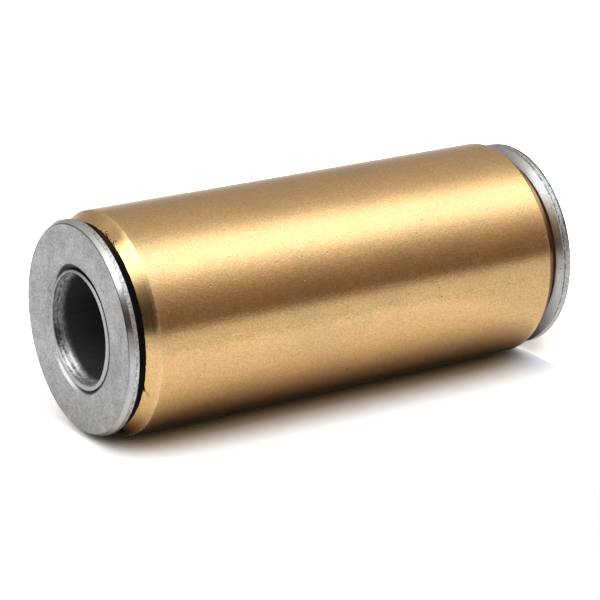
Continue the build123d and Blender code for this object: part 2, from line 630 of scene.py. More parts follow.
class BUSH_OT_sleeve(bpy.types.Operator):
    """Adds the turned outer sleeve"""

    bl_idname = "bush.sleeve"
    bl_label = "Turned sleeve"

    def execute(self, context):
        sizes = context.scene.bush_sizes
        radius, low, high = SLEEVE_HIGH.x, SLEEVE_LOW.z, SLEEVE_HIGH.z
        chamfer_length, chamfer_depth = sleeve_chamfer()
        bore, lip = radius - sizes.sleeve_wall, radius - chamfer_depth
        sharp = 0.05 * MM
        corners = [
            (bore, low, sharp),
            (lip, low, sharp),
            (radius, low + chamfer_length, sizes.corner),
            (radius, high - chamfer_length, sizes.corner),
            (lip, high, sharp),
            (bore, high, sharp),
        ]
        every, loop_r, loop_h = grid_of(rounded_loop(corners, 1.2 * MM), SLEEVE_COLUMNS)
        normal_r, normal_h = loop_normals(loop_r, loop_h)

        from_end = np.minimum(loop_h - low, high - loop_h)
        at_corner = ease(1.3 * (1 - np.abs(from_end - chamfer_length) / (0.12 * MM))) * (loop_r > lip)
        nick_half_width = math.degrees(0.012)
        nick = near_clock(every, 69.4, nick_half_width) * at_corner
        # The pale corner line is abrasion and a painted highlight, full at the top end and faint at the
        # bottom; the nick is a dent with a painted glint.
        top_share = np.where(loop_h > (low + high) / 2, 1.0, 0.2)
        wear = at_corner * (0.60 + 0.30 * ring_noise(every, 260, 11)) * top_share
        dip = 0.012 * MM * wear + 0.10 * MM * nick
        chamfered = (from_end < chamfer_length) & (loop_r > lip - sharp)
        smooth = chamfered * (1 - at_corner)
        # Painted shade on the bottom chamfer and lip, in the gap by the washer: lighter round clock 38,
        # where the panel's highlight falls, and darker round clock 95.
        on_bottom = (loop_r > lip - 2 * sharp) * (loop_h < low + chamfer_length)
        dirty_end = 0.84 * ease((chamfer_length + 0.15 * MM - (loop_h - low)) / (0.4 * MM))
        dirty_end = (dirty_end + 0.12 * ease(1 - (loop_r - lip) / (0.9 * MM))) * on_bottom
        cleaner, dirtier = near_clock(every, 38, 24), near_clock(every, 95, 28)
        tip_up = 0.55 * ease((chamfer_length - (loop_h - low)) / (0.3 * MM)) * on_bottom
        piece = revolved_piece(
            "turned_sleeve",
            loop_r - dip * normal_r,
            loop_h - dip * normal_h,
            every,
            worn=np.maximum(wear, nick),
            smooth=smooth,
            grime=dirty_end * (1 - 0.25 * cleaner + 0.05 * dirtier),
            lean=upright(tip_up),
        )
        dress(piece, brass_finish(context.scene.bush_colours), "turned_brass", "outer_sleeve")
        return {"FINISHED"}


# ---- Bonded rubber -----------------------------------------------------------------------------


def crumb_cloud(places, seed):
    """Points and triangles of small torn crumbs: for each (x, y, z, size), a ball of 42 points
    pushed in and out at random and flattened at random, all as one array."""
    ball = bmesh.new()
    bmesh.ops.create_icosphere(ball, subdivisions=2, radius=1.0)
    sphere = np.array([v.co for v in ball.verts])
    faces = np.array([[v.index for v in f.verts] for f in ball.faces])
    ball.free()
    random = np.random.default_rng(seed)
    count = len(places)
    push = random.uniform(0.65, 1.15, (count, len(sphere), 1))
    squash = random.uniform(0.55, 1.3, (count, 1, 3))
    points = places[:, None, :3] + sphere[None] * push * squash * places[:, None, 3:]
    offsets = np.arange(count)[:, None, None] * len(sphere)
    return points.reshape(-1, 3), (faces[None] + offsets).reshape(-1, 3)


def strand(start, end, sag, radius):
    """Points and quads of a hair of rubber: a round section carried along a bowed line, closing
    to a point at both ends by a radius that follows half a sine."""
    steps, sides = 12, 6
    t = np.linspace(0, 1, steps)[:, None]
    line = np.array(start) * (1 - t) + np.array(end) * t + np.array(sag) * np.sin(math.pi * t)
    ahead = np.gradient(line, axis=0)
    ahead /= np.linalg.norm(ahead, axis=1)[:, None]
    side = np.cross(ahead, [0.0, 0.0, 1.0])
    side /= np.linalg.norm(side, axis=1)[:, None]
    up = np.cross(side, ahead)
    turn = np.arange(sides) * (TURN / sides)
    girth = radius * np.maximum(np.sin(math.pi * t), 0.05)[..., None]
    section = np.cos(turn)[None, :, None] * side[:, None] + np.sin(turn)[None, :, None] * up[:, None]
    points = (line[:, None] + girth * section).reshape(-1, 3)
    index = np.arange(steps * sides).reshape(steps, sides)
    beside = np.roll(index, -1, axis=1)
    tube = np.stack([index[:-1], beside[:-1], beside[1:], index[1:]], axis=-1).reshape(-1, 4)
    return points, tube, (index[0][::-1], index[-1])


# Where the flash tore: (clock angle in degrees from +X towards -Y, half width in degrees, reach
# of the flash over the chamfer in mm, reach of the crumbs in mm, number of crumbs).
TORN_PLACES = (
    (17.5, 8.0, 0.16, 1.15, 30),
    (64.5, 4.5, 0.12, 0.35, 14),
    (110.0, 2.2, 0.40, 0.60, 14),
    (86.0, 9.0, 0.04, 0.20, 5),
)


def flash_reach(angle, usual, seed):
    """How far the moulding flash creeps over the sleeve's chamfer at each angle: a usual reach
    with a ragged edge, and wider where it was torn."""
    ragged = ring_noise(angle, 190, seed)
    finer = ring_noise(angle, 620, seed + 1)
    reach = usual * (1 + 0.5 * ragged + 0.4 * finer)
    for clock, half_width, extra, _, _ in TORN_PLACES:
        nearby = near_clock(angle, clock, half_width)
        reach = reach + nearby * extra * MM * np.clip(0.35 + 0.9 * finer, 0, 1)
    return np.maximum(reach, 0.02 * MM)


class BUSH_OT_rubber(bpy.types.Operator):
    """Adds the bonded rubber with the torn flash at its ends"""

    bl_idname = "bush.rubber"
    bl_label = "Bonded rubber"

    def execute(self, context):
        sizes = context.scene.bush_sizes
        chamfer_length, chamfer_depth = sleeve_chamfer()
        slope = np.array([chamfer_depth, chamfer_length]) / math.hypot(chamfer_depth, chamfer_length)
        hidden = 0.02 * MM
        tube, sleeve_bore = TUBE_HIGH.x + hidden, SLEEVE_HIGH.x - sizes.sleeve_wall - hidden
        lip, waist = RUBBER_HIGH.x, SLEEVE_HIGH.x - sizes.sleeve_wall
        ring = SLEEVE_LOW.z - RUBBER_LOW.z
        angle = around(RUBBER_COLUMNS)[None, :]

        def end_rows(washer_side, sleeve_side, up, seed):
            """Rows of (radius, height) from the tube out along the washer, down the hollow ring
            to the lip, over the chamfer by the flash's reach and back under it."""
            t = np.linspace(0, 1, 12)[:, None]
            rough = lattice_noise(angle + 0 * t, t + 0 * angle, 300, 10, seed)
            hollow = 0.25 * MM * np.sin(math.pi * t) + 0.05 * MM * rough
            ring_r = waist + (lip - waist) * t - hollow * ring / math.hypot(ring, lip - waist)
            ring_h = washer_side + (sleeve_side - washer_side) * t
            reach = flash_reach(angle, sizes.flash, seed)
            skin = 0.05 * MM
            over = np.array([0.0, 0.55, 1.0])[:, None]
            over_r = lip + slope[0] * reach * over + skin * slope[1] * (1 - 0.8 * over)
            over_h = sleeve_side - up * slope[1] * reach * over + up * skin * slope[0] * (1 - 0.8 * over)
            under_r = lip + slope[0] * reach * over[::-1] - skin * slope[1]
            under_h = sleeve_side - up * (slope[1] * reach * over[::-1] + skin * slope[0])
            flat = np.ones_like(angle)
            edge_r, edge_h = sleeve_bore * flat, (sleeve_side - up * 0.2 * MM) * flat
            rows_r = [tube * flat, (waist - 0.3 * MM) * flat, ring_r, over_r, under_r, edge_r]
            rows_h = [washer_side * flat, washer_side * flat, ring_h + 0 * angle, over_h, under_h, edge_h]
            return np.concatenate(rows_r), np.concatenate(rows_h)

        top_r, top_h = end_rows(RUBBER_HIGH.z, RUBBER_HIGH.z - ring, 1, 21)
        low_r, low_h = end_rows(RUBBER_LOW.z, RUBBER_LOW.z + ring, -1, 31)
        loop_r = np.concatenate([top_r, low_r[::-1]])
        loop_h = np.concatenate([top_h, low_h[::-1]])
        body = carried_round(loop_r, loop_h, angle).reshape(-1, 3)
        quads = facing_out(body, grid_quads(*loop_r.shape))

        def on_chamfer(clock, along, proud):
            """(x, y, z) of points so far along the top chamfer at clock angles, and so far above
            it."""
            turn = -np.radians(clock)
            r = lip + slope[0] * along + slope[1] * proud
            h = SLEEVE_HIGH.z - slope[1] * along + slope[0] * proud
            return r * np.cos(turn), r * np.sin(turn), h

        random = np.random.default_rng(5)
        places = []
        for clock, half_width, _, spill, count in TORN_PLACES:
            spread = clock + half_width * random.uniform(-1, 1, count)
            along = random.uniform(0, 1, count) ** 1.3 * spill * MM
            size = random.uniform(0.07, 0.19, count) * MM * (1 - 0.35 * along / along.max())
            places.append(np.stack([*on_chamfer(spread, along, 0.4 * size), size], axis=-1))
        crumbs, crumb_faces = crumb_cloud(np.concatenate(places), 6)

        hair, hair_quads, hair_ends = strand(
            on_chamfer(110.8, 0.3 * MM, 0.05 * MM),
            on_chamfer(115.4, 2.1 * MM, 0.12 * MM),
            (0.0, -0.15 * MM, 0.15 * MM),
            0.045 * MM,
        )
        points = np.concatenate([body, crumbs, hair])
        clock = np.degrees(np.arctan2(-points[:, 1], points[:, 0]))
        at_bottom = points[:, 2] < 20 * MM
        # Painted brown reflection of the brass: all round the bottom end, and near clock 17 at the top.
        rusty = 0.75 * at_bottom + 0.35 * bump_at(clock, 17, 18) * ~at_bottom
        after_body, after_crumbs = len(body), len(body) + len(crumbs)
        faces = quads.tolist() + (crumb_faces + after_body).tolist()
        faces += (hair_quads + after_crumbs).tolist() + [(end + after_crumbs).tolist() for end in hair_ends]
        piece = new_piece("bonded_rubber", points, faces, rusty=rusty)
        dress(piece, rubber_finish(context.scene.bush_colours), "rubber", "rubber_core")
        return {"FINISHED"}


# ---- Staked inner tube -------------------------------------------------------------------------


def tool_marks(angle, depth, seed):
    """Notches that the punch's jaws left inside the mouth: short bars along the axis, in two
    staggered rows, each with its own length and strength. depth is from the tube's end."""
    bars = ring_noise(angle, 150, seed)
    finer = lattice_noise(angle, depth / (1.6 * MM), 330, 5, seed + 1)
    upper = bands(depth, (0.65, 0.42)) * ease((bars + 0.25) * 1.6)
    lower = bands(depth, (1.45, 0.55)) * ease((0.35 - bars) * 1.5)
    return np.clip(upper + lower, 0, 1) * (0.75 + 0.5 * finer)


class BUSH_OT_tube(bpy.types.Operator):
    """Adds the inner tube with its spread, tool-marked ends"""

    bl_idname = "bush.tube"
    bl_label = "Staked inner tube"

    def execute(self, context):
        sizes = context.scene.bush_sizes
        bore, tube = MOUNT_SIZES["bore"]["r_mm"] * MM, TUBE_HIGH.x
        low, high = BOTTOM_LOW.z + sizes.tip_inset, TOP_HIGH.z - sizes.tip_inset
        shoulder_low, shoulder_high = BOTTOM_HIGH.z, TOP_LOW.z
        tip = sizes.spigot + sizes.spigot_flare
        flare = sizes.hole_chamfer - sizes.tip_inset
        lopsided, heavy_side = 0.60 * MM, math.radians(-130)
        mouth_end, throat_end = sizes.mouth_depth, sizes.mouth_depth + sizes.throat
        sharp = 0.05 * MM
        # One end from the bore outwards: (radius, depth from the tip, rounding).
        end = [
            (bore, throat_end, 2.0 * MM),
            (sizes.mouth - 0.08 * MM, mouth_end, 1.0 * MM),
            (sizes.mouth, 0.22 * MM, 0.3 * MM),
            (sizes.mouth + 0.16 * MM, 0.0, 0.08 * MM),
            (tip, 0.0, 0.28 * MM),
            (sizes.spigot, flare, sharp),
        ]
        loop = rounded_loop(
            [(r, low + depth, rounding) for r, depth, rounding in end]
            + [(sizes.spigot, shoulder_low, sharp), (tube, shoulder_low, sharp)]
            + [(tube, shoulder_high, sharp), (sizes.spigot, shoulder_high, sharp)]
            + [(r, high - depth, rounding) for r, depth, rounding in reversed(end)],
            0.14 * MM,
        )
        # Only the mouths show closely: thin out the rows further in, and keep a few of those along
        # the bore and under the other pieces, with each corner's own.
        from_end = np.minimum(loop[:, 1] - low, high - loop[:, 1])
        number = np.arange(len(loop))
        at_step = np.abs(from_end - (shoulder_low - low)) < 1.2 * sharp
        at_step &= (loop[:, 0] < sizes.spigot + 1.2 * sharp) | (loop[:, 0] > tube - 1.2 * sharp)
        keep = (from_end < 0.9 * MM) & (loop[:, 0] < tip + sharp) | at_step & (number % 2 == 0)
        keep |= (from_end < 2.2 * MM) & (loop[:, 0] < sizes.mouth + sharp)
        keep |= (from_end < 4.6 * MM) & (loop[:, 0] < sizes.mouth) & (number % 3 == 0)
        loop = loop[keep | (number % 60 == 0)]
        every, loop_r, loop_h = grid_of(loop, TUBE_COLUMNS)
        normal_r, normal_h = loop_normals(loop_r, loop_h)
        depth = np.minimum(loop_h - low, high - loop_h)
        endward = np.where(loop_h > (low + high) / 2, 1.0, -1.0)
        inside = loop_r < sizes.mouth + 0.05 * MM

        # The punch spread the end more on one side than on the other.
        spread = (0.10 * MM + lopsided * np.cos(every - heavy_side)) * ease(1 - depth / (0.85 * MM))
        outer_share = ease((loop_r - sizes.mouth - 0.2 * MM) / (0.7 * MM))
        near_end = ease(1 - depth / (1.2 * MM))
        dent = 0.55 * MM * near_clock(every, 145, 38)
        inner_share = (1 - outer_share) * near_end
        loop_r = loop_r + spread * outer_share + dent * inner_share

        marks = tool_marks(every, depth, 41) * inside
        marks = marks * (0.5 + 0.5 * near_clock(every, -150, 55))
        sway = ring_noise(every, 14, 43)
        push = 0.06 * MM * marks + 0.02 * MM * sway * near_end * (depth > 0.05 * MM)
        # Over half a turn the punch also left two rings, broken here and there.
        broken = 0.75 + 0.35 * ring_noise(every, 90, 47)
        rings = bands(depth, (0.48, 0.22), (1.50, 0.26)) * near_clock(every, -95, 105)
        # lit_side is where painted light falls in the mouth: the tool marks are fainter there, less of the
        # dark scale shows, and two strips get a painted highlight.
        lit_side = near_clock(every, -152, 44)
        marks = np.maximum(marks, np.minimum(1.3 * rings, 1.0) * broken * inside)
        marks = marks * (1 - 0.6 * lit_side)
        bare = 0.55 * lit_side * ease((3.9 * MM - depth) / (1.6 * MM))
        scaled = rise(depth, 1.3, 2.6) * inside * (1 - bare)
        # Painted shade: in the gap round the spigot, on one side of the tip and on one side of the mouth
        # wall.
        in_gap = rise(depth, 0.12, 0.2) * (loop_r > sizes.spigot - 0.1 * MM)
        dull_tip = near_clock(every, -15, 75) * (1 - inside)
        soiled = near_clock(every, -95, 70) * inside
        dull_tip, soiled = 0.45 * dull_tip * (depth < 0.12 * MM), 0.42 * soiled * rise(depth, 0, 0.4)
        grime = np.maximum.reduce([in_gap, dull_tip, soiled])
        punched = inside * rise(depth, 0, 0.25)
        strips = bands(depth, (0.95, 0.50), (2.2, 0.60))
        # Two bright strips on the lit side are a painted highlight.
        rubbed = 0.62 * inside * lit_side * strips * (1 - 0.8 * marks)
        facets = lattice_noise(every, depth / (2.7 * MM), 210, 3, 45)
        fine_facets = lattice_noise(every, depth / (2.7 * MM), 430, 9, 46)
        tipping = punched * (1 - 0.8 * scaled) * (0.62 + 0.22 * facets + 0.22 * fine_facets - 0.25 * marks)
        piece = revolved_piece(
            "staked_tube",
            loop_r - push * normal_r,
            loop_h - push * normal_h,
            every,
            marked=marks,
            rubbed=rubbed,
            scaled=scaled,
            punched=punched,
            grime=grime,
            lean=upright(endward * tipping),
        )
        dress(piece, tube_finish(context.scene.bush_colours), "tube_steel", "inner_tube")
        return {"FINISHED"}


# ---- End washers -------------------------------------------------------------------------------


def washer_piece(name, sizes, radius, outer, inner, edge, seed):
    """A blanked washer between its outer and inner face. Going down the wall from the outer face,
    the burnished bevel breaks away along an uneven line into a torn band. edge holds the look of
    its rim: bevel and depth, how far and how deep the edge is drawn in; uneven, how much the bevel
    and the wall change round it; dull, how much painted shade darkens the edge; tear_tip, how far
    the torn facets tip towards the outer face; unbroken, how much of the seam is whole; seam, (depth,
    clock angle, reach in degrees, strength, half width) of a broken line of voids, darkened by painted
    shade; contact, (clock angle, reach in degrees, strength) of the painted shadow where the rim lay
    on the ground."""
    up = 1.0 if outer > inner else -1.0
    thickness = abs(outer - inner)
    hole, wide = sizes.washer_hole, sizes.washer_hole + sizes.chamfer_reach
    bevel, bevel_depth = edge["bevel"], edge["depth"]
    face_edge = radius - bevel
    sharp = 0.04 * MM
    # Corners are (radius, depth below the outer face, rounding).
    loop = rounded_loop(
        [
            (hole, thickness, sharp),
            (hole, sizes.hole_chamfer, sharp),
            (wide, 0.0, 0.12 * MM),
            (face_edge, 0.0, 0.03 * MM),
            (radius, bevel_depth, 0.06 * MM),
            (radius, thickness, sharp),
        ],
        0.11 * MM,
    )
    # The broad faces are flat: keep the rows near their edges and thin out those between.
    # What lies against the tube keeps its corner.
    across = np.minimum(np.abs(loop[:, 0] - wide), np.abs(loop[:, 0] - face_edge))
    from_corner = np.hypot(loop[:, 0] - hole, loop[:, 1] - thickness)
    hidden = (loop[:, 0] < wide + 0.4 * MM) & (loop[:, 1] > sizes.hole_chamfer + 2 * sharp)
    hidden &= from_corner > 1.2 * sharp
    keep = (loop[:, 0] <= wide) | (across < 0.3 * MM) | (loop[:, 0] >= face_edge)
    loop = loop[keep & ~hidden | (np.arange(len(loop)) % 8 == 0)]

    every, base_r, depth = grid_of(loop, WASHER_COLUMNS)
    uneven = edge["uneven"] * np.cos(every + math.radians(45))
    near_edge = np.clip(1 - (face_edge - base_r) / (1.4 * MM), 0, 1)
    near_edge = near_edge * np.clip(1 - depth / bevel_depth, 0, 1)
    near_hole = np.clip((base_r - hole) / (wide - hole), 0, 1)
    near_hole = near_hole * np.clip(1 - (base_r - wide) / (2 * MM), 0, 1) * (depth < sizes.hole_chamfer)
    lopsided = (0.12 * MM + 0.42 * MM * near_clock(every, 158, 64)) * (edge["uneven"] > 0)
    drawn_in = 0.24 * (edge["uneven"] + uneven) * (base_r > radius - bevel)
    loop_r = base_r - uneven * near_edge - drawn_in + lopsided * near_hole
    loop_h = outer - up * depth
    normal_r, normal_h = loop_normals(loop_r, loop_h)
    outward = normal_h * up
    share = depth / thickness
    wall = (normal_r > 0.85) & (base_r > radius - 0.1 * MM)

    wander = 0.08 * MM * ring_noise(every, 26, seed)
    jagged = 0.05 * MM * ring_noise(every, 330, seed + 1)
    break_line = bevel_depth + 0.06 * MM + np.maximum(wander + jagged, -0.05 * MM)
    torn = ease((depth - break_line) / (0.10 * MM)) * wall
    burnished = (1 - torn) * (outward < 0.9) * (normal_r > 0.2) * (base_r > face_edge)
    grains = lattice_noise(every, share, 520, 16, seed + 2)
    coarse = lattice_noise(every, share, 130, 5, seed + 3)
    push = torn * (0.030 + 0.024 * grains + 0.014 * coarse) * MM

    notches = ease(2.0 * (ring_noise(every, 210, seed + 4) - 0.05))
    voids = bump_at(depth, break_line + 0.02 * MM, 0.10 * MM) * notches * wall
    seam_depth, seam_clock, seam_reach, seam_strength, seam_width = edge["seam"]
    seam_line = seam_depth + 0.8 * wander + 0.9 * jagged
    breaks = ease(2.4 * (ring_noise(every, 190, seed + 6) + 0.05 + edge["unbroken"]))
    seam = bump_at(depth, seam_line, seam_width) * breaks * wall * seam_strength
    seam = seam * near_clock(every, seam_clock, seam_reach, 2.0)
    push = push + wall * (0.05 * voids + 0.08 * seam) * MM

    in_hole = (base_r < wide - 0.02 * MM) & (np.abs(normal_h) < 0.98)
    chamfer_share = np.clip((wide - base_r) / sizes.chamfer_reach, 0, 1)
    # Painted shade in the groove at the foot of the hole's chamfer, deepest on two sides.
    packed = near_clock(every, 162, 44) + near_clock(every, -15, 45)
    half_packed = near_clock(every, -150, 44)
    grime = in_hole * ease((chamfer_share - 0.62 + 0.55 * packed + 0.22 * half_packed) / 0.3)
    # A painted dark line along the face's edge, standing for the dark band that the rounded edge mirrors,
    # strongest towards +X.
    upper_side = ease(1.6 * np.cos(every) + 0.6)
    face_line = bump_at(base_r, face_edge, 0.26 * MM) * (outward > 0.2) * (0.14 + 0.84 * upper_side)
    wide_bevel = bevel > 0.3 * MM
    face_line = face_line * wide_bevel
    # Painted shade on the rim's edge on the side towards +X, and on the bevel round clock 55 and 80.
    blotches = 0.8 + 0.2 * lattice_noise(every, share, 90, 6, seed + 7)
    dirty_side = ease((np.cos(every) - 0.09) / 0.41) * (base_r > face_edge)
    edge_dirt = edge["dull"] * blotches * dirty_side * ease((0.90 * MM - depth) / (0.55 * MM))
    shade = 0.35 * near_clock(every, 55, 11) + 0.45 * near_clock(every, 80, 17)
    edge_dirt = np.maximum(edge_dirt, shade * burnished * wide_bevel)
    # Less burnish on the bevel round clock 102: painted shade.
    scuffed = 0.6 * near_clock(every, 102, 34)
    burnished = burnished * (1 - scuffed * wide_bevel)
    # Painted shadow where the rim lies on the ground.
    clock, reach, strength = edge["contact"]
    contact = strength * near_clock(every, clock, reach)
    on_edge = contact * (base_r > face_edge)
    # All of this is painted shade; the voids and the seam are real dents, darkened by it.
    grime = np.maximum.reduce([grime, face_line, 0.6 * voids, 0.85 * seam, edge_dirt, on_edge])

    # The inner face is lapped smooth with fine facets that tip outwards, most of all on the side
    # where it was lapped hardest. It has painted shade by the rubber and in the sleeve's shadow, a
    # painted highlight round clock 14 and a painted warm reflection of the brass round clock 64.
    inner_face = (outward < -0.9) & (base_r > hole + 0.1 * MM)
    dusty = inner_face * 0.35 * (1 - rise(base_r, 21.2, 2.4))
    sooty = near_clock(every, 101, 34) * inner_face * (0.72 * (1 - rise(base_r, 21.4, 0.9)))
    grime = np.maximum.reduce([grime, dusty, sooty, contact * inner_face])
    burnished = np.maximum(burnished, 0.75 * inner_face)
    polished = inner_face * (0.34 + 0.60 * near_clock(every, 14, 45))
    stained = inner_face * near_clock(every, 64, 52)
    # A painted highlight on one side of the hole's chamfer, which also takes the burnished band's colour
    # and smoothness.
    rubbed = in_hole * near_clock(every, -156, 28)
    rubbed = rubbed * ease((0.46 - chamfer_share) / 0.08) * ease(chamfer_share / 0.06)
    burnished, polished = np.maximum(burnished, rubbed), np.maximum(polished, 0.9 * rubbed)
    tipping = (0.75 + 2.15 * np.maximum(np.cos(every + math.radians(68)), 0)) * inner_face
    tear_tip = up * edge["tear_tip"] * torn
    lean = np.stack([tipping * np.cos(every), tipping * np.sin(every), tear_tip], axis=-1)
    return revolved_piece(
        name,
        loop_r - push * normal_r,
        loop_h - push * normal_h * (np.abs(normal_h) < 0.9),
        every,
        burnished=burnished,
        polished=polished,
        stained=stained,
        torn=torn,
        grime=grime,
        lean=lean,
    )


class BUSH_OT_washers(bpy.types.Operator):
    """Adds the two blanked end washers"""

    bl_idname = "bush.washers"
    bl_label = "End washers"

    def execute(self, context):
        sizes = context.scene.bush_sizes
        steel = washer_finish(context.scene.bush_colours)
        top_edge = {
            "bevel": sizes.bevel,
            "depth": sizes.bevel_depth,
            "uneven": 0.25 * MM,
            "dull": 0.0,
            "tear_tip": 0.15,
            "unbroken": 0.0,
            "seam": (1.5 * MM, 122, 46, 0.8, 0.20 * MM),
            "contact": (151, 14, 0.55),
        }
        bottom_edge = {
            "bevel": sizes.sharp_bevel,
            "depth": sizes.sharp_depth,
            "uneven": 0.0,
            "dull": 0.95,
            "tear_tip": 0.0,
            "unbroken": 0.6,
            "seam": (1.62 * MM, 62, 150, 1.0, 0.27 * MM),
            "contact": (154, 26, 0.72),
        }
        top = washer_piece("top_end_washer", sizes, TOP_HIGH.x, TOP_HIGH.z, TOP_LOW.z, top_edge, 60)
        dress(top, steel, "washer_steel", "top_washer")
        low, high = BOTTOM_LOW.z, BOTTOM_HIGH.z
        bottom = washer_piece("bottom_end_washer", sizes, BOTTOM_HIGH.x, low, high, bottom_edge, 80)
        dress(bottom, steel, "washer_steel", "bottom_washer")
        return {"FINISHED"}


# ---- Stage: floor, backdrop, studio light and camera --------------------------------------------


class StageSettings(bpy.types.PropertyGroup):
    """The camera's place and the light."""

    azimuth: angle_value("Azimuth", "Camera's turn about Z", 21.74)
    elevation: angle_value("Elevation", "Camera's height as an angle", 30.71)
    roll: angle_value("Roll", "Camera's turn about its line of sight", -101.5)
    distance: length_value("Distance", "From the camera to the aim point", 593.5)
    aim_right: length_value("Aim right", "Aim point from the part's middle, across the view", -0.9)
    aim_up: length_value("Aim up", "Aim point from the part's middle, up the view", -3.8)
    lens: bpy.props.FloatProperty(name="Lens", description="Focal length in mm", default=153.3)
    brightness: bpy.props.FloatProperty(
        name="Brightness", description="Strength of the brightest panel", default=2.7
    )


# Brightness of the studio round the part, as a share of the lower ring's brightest panel, against
# the clock angle in degrees from +X towards -Y, and how warm it is there: an overhead panel, a
# brown gap at the horizon, the pale table, and a grey back wall. The table sheet hides the far
# half. The lower ring is what upright walls mirror; the upper ring, where the panel is nearer and
# has sharp edges, is what chamfers mirror; the top ring is what flatter bevels mirror.
LOWER_RING = (
    (-180, 0.35, 0.0), (-98, 0.32, 0.0), (-82, 0.185, 0.1), (-66, 0.172, 0.3), (-48, 0.20, 0.3),
    (-28, 0.245, 0.2), (-16, 0.30, 0.1), (-8, 0.42, 0.0), (1, 0.67, -0.1), (11, 0.77, -0.4),
    (22, 0.77, -0.4), (31, 0.66, -0.2), (41, 0.40, 0.1), (52, 0.225, 0.5), (62, 0.145, 0.9),
    (74, 0.098, 1.1), (84, 0.078, 1.1), (88, 0.10, 0.8), (95, 0.31, 0.0), (104, 0.345, 0.0),
    (180, 0.35, 0.0),
)
UPPER_RING = (
    (-180, 0.35, 0.0), (-98, 0.32, 0.0), (-82, 0.21, 0.1), (-66, 0.21, 0.15), (-53, 0.235, 0.1),
    (-46, 0.27, 0.1), (-31, 0.225, 0.2), (-24, 0.27, 0.1), (-17, 0.95, 0.0), (-10, 1.25, -0.1),
    (8, 1.25, -0.1), (16, 0.95, 0.0), (25, 0.50, 0.1), (33, 0.22, 0.3), (42, 0.09, 0.6),
    (60, 0.042, 0.6), (90, 0.036, 0.6), (97, 0.22, 0.1), (104, 0.34, 0.0), (180, 0.36, 0.0),
)
TOP_RING = (
    (-180, 0.41, 0.0), (-150, 0.36, 0.0), (-98, 0.33, 0.0), (-60, 0.37, 0.0), (-40, 0.42, 0.0),
    (-28, 0.48, 0.0), (-22, 0.65, 0.0), (-16, 1.25, 0.0), (8, 1.25, 0.0), (15, 0.90, 0.0),
    (22, 0.52, 0.0), (33, 0.18, 0.2), (42, 0.085, 0.4), (60, 0.034, 0.5), (86, 0.032, 0.5),
    (92, 0.09, 0.3), (97, 0.27, 0.1), (104, 0.34, 0.0), (112, 0.36, 0.0), (140, 0.36, 0.0),
    (158, 0.38, 0.0), (180, 0.41, 0.0),
)
WARM_TINT = (1.0, 0.76, 0.61)
EVEN_GREY = (0.32, 0.32, 0.32)

# Heights of the direction, as the sine of its elevation, over which one gives way to the next.
LOWER_TO_UPPER = (0.05, 0.42)
UPPER_TO_TOP = (0.50, 0.68)
RINGS_TO_GREY = (0.95, 1.0)


def studio_world(settings):
    """A world that is plain white to the camera and lights the part by the three rings above,
    each blending into the next one with height, and all into an even grey close to straight up
    and down."""
    world = bpy.data.worlds.new("studio")
    nodes = Nodes(world)
    direction = nodes.add("ShaderNodeTexCoord").outputs["Generated"]
    across, along, height = nodes.add("ShaderNodeSeparateXYZ", (direction,)).outputs
    clock = nodes.math("ARCTAN2", nodes.times(along, -1.0), across)
    turn_share = nodes.times_plus(clock, 1 / TURN, 0.5)

    def ring(stops):
        """The colour of one ring at the direction's clock angle."""
        colours = [tuple(share * tint**warmth for tint in WARM_TINT) for _, share, warmth in stops]
        positions = [degrees / 360 + 0.5 for degrees, _, _ in stops]
        return nodes.ramp(turn_share, list(zip(positions, colours)))

    rings = nodes.blend(nodes.remap(height, *LOWER_TO_UPPER), ring(LOWER_RING), ring(UPPER_RING))
    rings = nodes.blend(nodes.remap(height, *UPPER_TO_TOP), rings, ring(TOP_RING))
    steep = nodes.remap(nodes.math("ABSOLUTE", height), *RINGS_TO_GREY)

    studio = nodes.tree.nodes["Background"]
    nodes.put(studio.inputs["Color"], nodes.blend(steep, rings, EVEN_GREY))
    nodes.put(studio.inputs["Strength"], settings.brightness)
    plain_white = nodes.add("ShaderNodeBackground", {"Color": (1.0, 1.0, 1.0, 1.0)})
    path = nodes.add("ShaderNodeLightPath")
    seen = nodes.math("MAXIMUM", path.outputs["Is Camera Ray"], path.outputs["Is Transmission Ray"])
    surface = nodes.mixed(seen, studio.outputs[0], plain_white.outputs[0])
    nodes.put(nodes.tree.nodes["World Output"].inputs["Surface"], surface)
    bpy.context.scene.world = world


# How bright the stage looks in the part's own finish against how open it is to the sky there:
# (openness, colour). Brass light makes its shade warm.
TABLE_SHADE = (
    (0.12, (0.0, 0.0, 0.0)), (0.15, (0.009, 0.008, 0.009)), (0.28, (0.31, 0.235, 0.19)),
    (0.45, (0.61, 0.52, 0.45)), (0.65, (0.88, 0.82, 0.77)), (0.80, (1.0, 0.98, 0.96)),
    (1.0, (1.04, 1.03, 1.02)),
)


# The same shade as the camera sees it, which is cooler: both in shares of the fully open place.
SEEN_SHADE = (
    (0.0, (0.0, 0.0, 0.0)), (0.05, (0.046, 0.045, 0.045)), (0.10, (0.097, 0.096, 0.096)),
    (0.14, (0.17, 0.168, 0.168)), (0.30, (0.464, 0.462, 0.462)), (0.52, (0.71, 0.71, 0.71)),
    (1.0, (1.0, 1.0, 1.0)),
)


